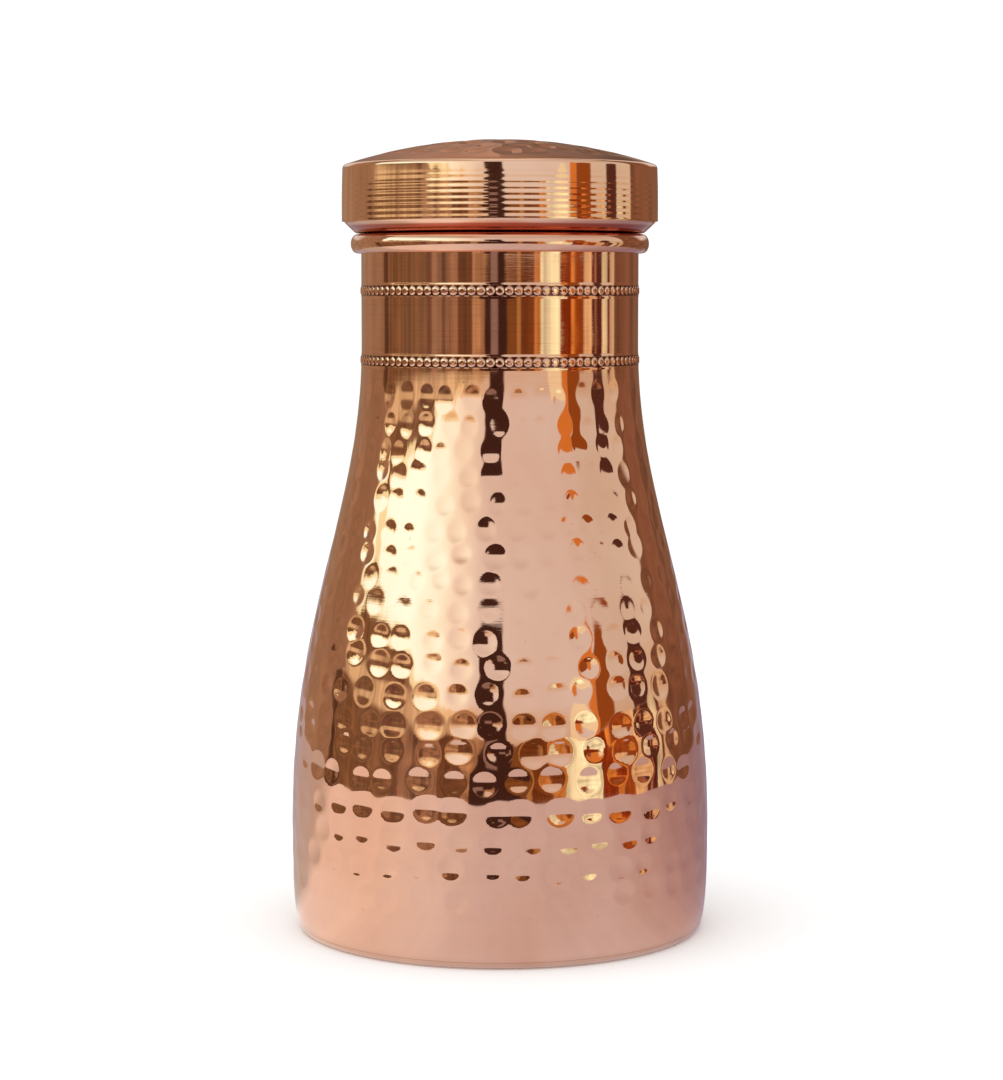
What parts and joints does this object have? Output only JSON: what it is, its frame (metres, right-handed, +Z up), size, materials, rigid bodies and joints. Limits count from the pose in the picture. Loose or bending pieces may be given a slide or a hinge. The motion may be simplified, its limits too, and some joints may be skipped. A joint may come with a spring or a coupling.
{
  "type": "copper water bottle",
  "caption": "Tapered hammered copper water bottle with a straight beaded neck, curled rim and a push-fit domed lid with a seal ring.",
  "frame": {"origin": "centre of the foot, in the plane of the surface the bottle stands on", "axes": "+Z up along the bottle's axis, from the foot to the lid; the bottle is round, so X and Y are free, and -Y is taken as the front"},
  "size_m": [0.1054, 0.1054, 0.1975],
  "materials": {
    "hammered_copper": "hammered and buffed copper, lacquered",
    "polished_copper": "lathe-polished copper, lacquered",
    "seal": "matt silicone, off-white"
  },
  "bodies": {
    "bottle": {"lower_body": "hammered_copper", "upper_body": "hammered_copper", "base_disc": "polished_copper"},
    "seal": {"seal_ring": "seal"},
    "lid": {"lid_shell": "polished_copper", "lid_plug": "polished_copper"}
  },
  "joints": [
    {"name": "lid_lift", "type": "slide", "parent": "bottle", "child": "seal", "axis": [0, 0, 1], "range_m": [0, 0.03]},
    {"name": "lid_turn", "type": "hinge", "parent": "seal", "child": "lid", "pos_m": [0, 0, 0.1741], "axis": [0, 0, 1], "continuous": true}
  ]
}
